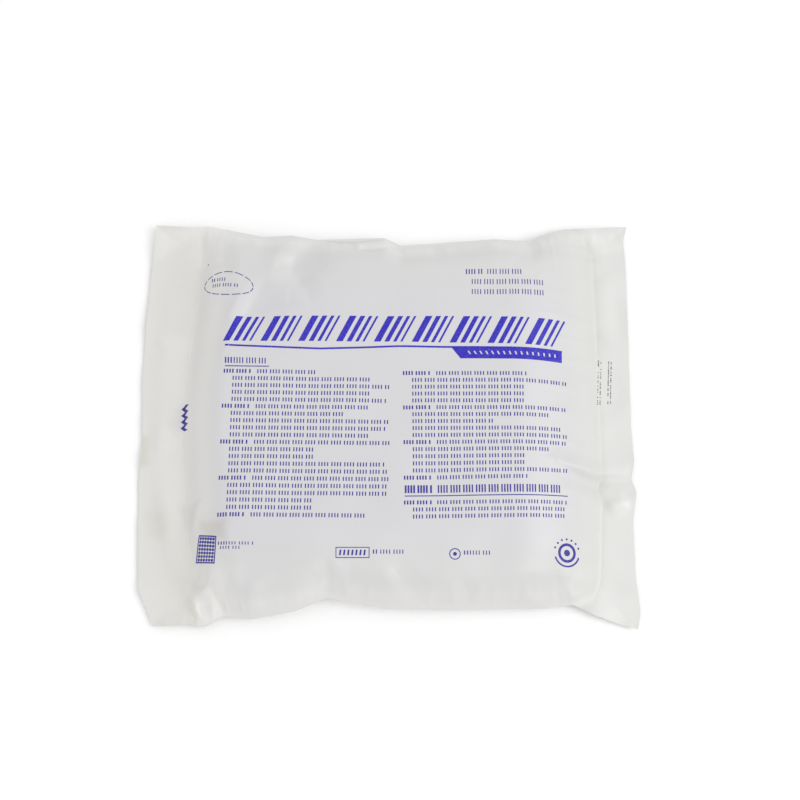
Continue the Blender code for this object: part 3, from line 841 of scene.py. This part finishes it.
def print_banner(ink):
    """A solid slanted banner with a row of bare windows in it."""
    ink.piece(BANNER, 0.0, 1.0, 0.0, 0.36)
    ink.piece(BANNER, 0.0, 1.0, 0.64, 1.0)
    for window in range(BANNER_WINDOWS + 1):
        u0 = 0.0 if window == 0 else 0.08 + 0.86 * window / BANNER_WINDOWS
        u1 = 0.118 if window == 0 else 1.0 if window == BANNER_WINDOWS else u0 + 0.038
        ink.piece(BANNER, u0, u1, 0.36, 0.64)


def print_code(ink):
    """A framed square of plain round dots in even rows."""
    ink.frame(CODE_BLOCK, (0.05, 0.05))
    for row in range(7):
        for column in range(6):
            centre = between(CODE_BLOCK, 0.14 + 0.144 * column, 0.12 + 0.127 * row)
            ink.disc(tuple(centre), 1.0)


def print_marks(ink):
    """Small plain marks along the near side and in the corners."""
    for *block, count in SMALL_ROWS:
        print_rows(ink, block, count, 31, tick=0.58, share=0.70)
    ink.frame(SYMBOL_BOX, (0.022, 0.07))
    for line in range(7):
        ink.piece(SYMBOL_BOX, 0.10 + 0.12 * line, 0.15 + 0.12 * line, 0.25, 0.75, 0.02)
    ink.arc(RING_CENTRE, (3.5, 3.5), 0.6, 0, 1, 24)
    ink.disc(RING_CENTRE, 1.3)
    ink.arc(BADGE_CENTRE, (9.0, 9.0), 1.1, 0.55, 0.95, 20)
    ink.arc(BADGE_CENTRE, (5.6, 5.6), 1.8, 0, 1, 28)
    ink.disc(BADGE_CENTRE, 2.2)
    for dot in range(7):
        angle = math.pi * (0.12 + 0.76 * dot / 6)
        across, along = BADGE_DOTS_RADIUS * math.cos(angle), BADGE_DOTS_RADIUS * math.sin(angle)
        ink.disc((BADGE_CENTRE[0] + across, BADGE_CENTRE[1] + along), 0.7)
    for dash in range(14):
        ink.arc(OVAL_CENTRE, (19.0, 8.6), 0.55, dash / 14, (dash + 0.80) / 14, 5, 0.19)
    print_rows(ink, EMBLEM_BLOCK, 2, 33, tick=0.58, share=0.60)
    ink.disc(LONE_DOT, 0.5)
    for step in range(4):
        y = ZIGZAG_TOP - ZIGZAG_STEP * step
        ink.patch((-143.6, y), (-140.6, y - 0.4), (-147.0, y - 3.0), (-143.8, y - 3.0))
        ink.patch((-147.0, y - 3.0), (-143.8, y - 3.0), (-143.6, y - 5.6), (-140.6, y - 5.2))


def print_stamp(ink):
    """Two upright columns of small black dots, unevenly inked."""
    random = np.random.default_rng(41)
    for row in range(STAMP_ROWS):
        for column in range(6):
            if column in (2, 3) or random.random() < 0.34:
                continue
            centre = between(STAMP_BLOCK, column / 5, (row + 0.2) / STAMP_ROWS)
            ink.disc(tuple(centre), float(random.uniform(0.28, 0.48)))


def make_print(film):
    """All that is printed on the front film: violet ink, and a black stamp on the right flange."""
    violet, black = ink_material("violet_ink", INK), ink_material("stamp_ink", STAMP_INK)
    thin = ink_material("thin_violet_ink", THIN_INK)
    title, rows, marks, stamp = Ink(film), Ink(film), Ink(film), Ink(film)
    print_title(title)
    print_underline(title)
    print_banner(title)
    print_rows(rows, HEADING_BLOCK, 1, 51, tick=0.70, share=0.85)
    rows.piece(HEADING_BLOCK, 0.0, 1.0, 1.20, 1.33)
    print_rows(rows, LEFT_BLOCK, 21, 52)
    print_rows(rows, RIGHT_BLOCK, 16, 53)
    print_rows(rows, NEAR_RIGHT_BLOCK, 3, 54)
    print_rows(rows, TOP_BLOCK, 3, 55, tick=0.58, share=0.50)
    print_rows(rows, BOLD_BLOCK, 1, 56, tick=0.92, pitch=1.90, share=0.85)
    rows.piece(BOLD_BLOCK, 0.0, 1.0, 1.12, 1.22)
    print_code(marks)
    print_marks(marks)
    print_stamp(stamp)
    return [
        title.link("title_print", violet),
        rows.link("row_print", thin),
        marks.link("mark_print", thin),
        stamp.link("stamp_print", black),
    ]


def make_camera():
    """The photograph's view: 77 degrees above the surface, from the near side."""
    elevation, distance, aim = math.radians(77.0), 0.786, Vector((0.00877, 0.01514, 0.0))
    data = bpy.data.cameras.new("camera")
    data.lens = 49.5
    data.sensor_width = 36.0
    data.clip_start = 0.01
    camera = bpy.data.objects.new("camera", data)
    back = Vector((0.0, -math.cos(elevation), math.sin(elevation)))
    camera.location = aim + back * distance
    camera.rotation_euler = (math.pi / 2 - elevation, 0.0, 0.0)
    bpy.context.collection.objects.link(camera)
    bpy.context.scene.camera = camera


def make_floor():
    """A plain pale floor, a hair below the film."""
    size = 12.0
    mesh = bpy.data.meshes.new("floor")
    corners = [(-size, -size, 0), (size, -size, 0), (size, size, 0), (-size, size, 0)]
    mesh.from_pydata(corners, [], [(0, 1, 2, 3)])
    floor = bpy.data.objects.new("floor", mesh)
    floor.location.z = -0.0004
    bpy.context.collection.objects.link(floor)
    material, shader = new_material("floor", 0.9)
    shader.inputs["Base Color"].default_value = (0.93, 0.93, 0.93, 1.0)
    shader.inputs["Specular IOR Level"].default_value = 0.1
    mesh.materials.append(material)


def area_light(name, place, size, power, colour):
    data = bpy.data.lights.new(name, "AREA")
    data.size = size
    data.energy = power
    data.color = colour
    light = bpy.data.objects.new(name, data)
    light.location = place
    light.rotation_euler = (-Vector(place)).to_track_quat("-Z", "Y").to_euler()
    bpy.context.collection.objects.link(light)


def make_light():
    """Soft white light all round, and a broad softbox from the right and a little in front."""
    world = bpy.data.worlds.new("studio")
    world.use_nodes = True
    background = world.node_tree.nodes["Background"]
    background.inputs["Color"].default_value = (1.0, 1.0, 1.0, 1.0)
    background.inputs["Strength"].default_value = 0.95
    bpy.context.scene.world = world
    area_light("softbox", (1.4, -0.2, 1.25), size=1.0, power=11.0, colour=(1.0, 0.998, 0.99))
    bpy.context.scene.view_settings.view_transform = "Standard"


front, back = make_films()
make_gown()
bpy.context.view_layer.update()
marks = make_print(front)
make_camera()
make_floor()
make_light()
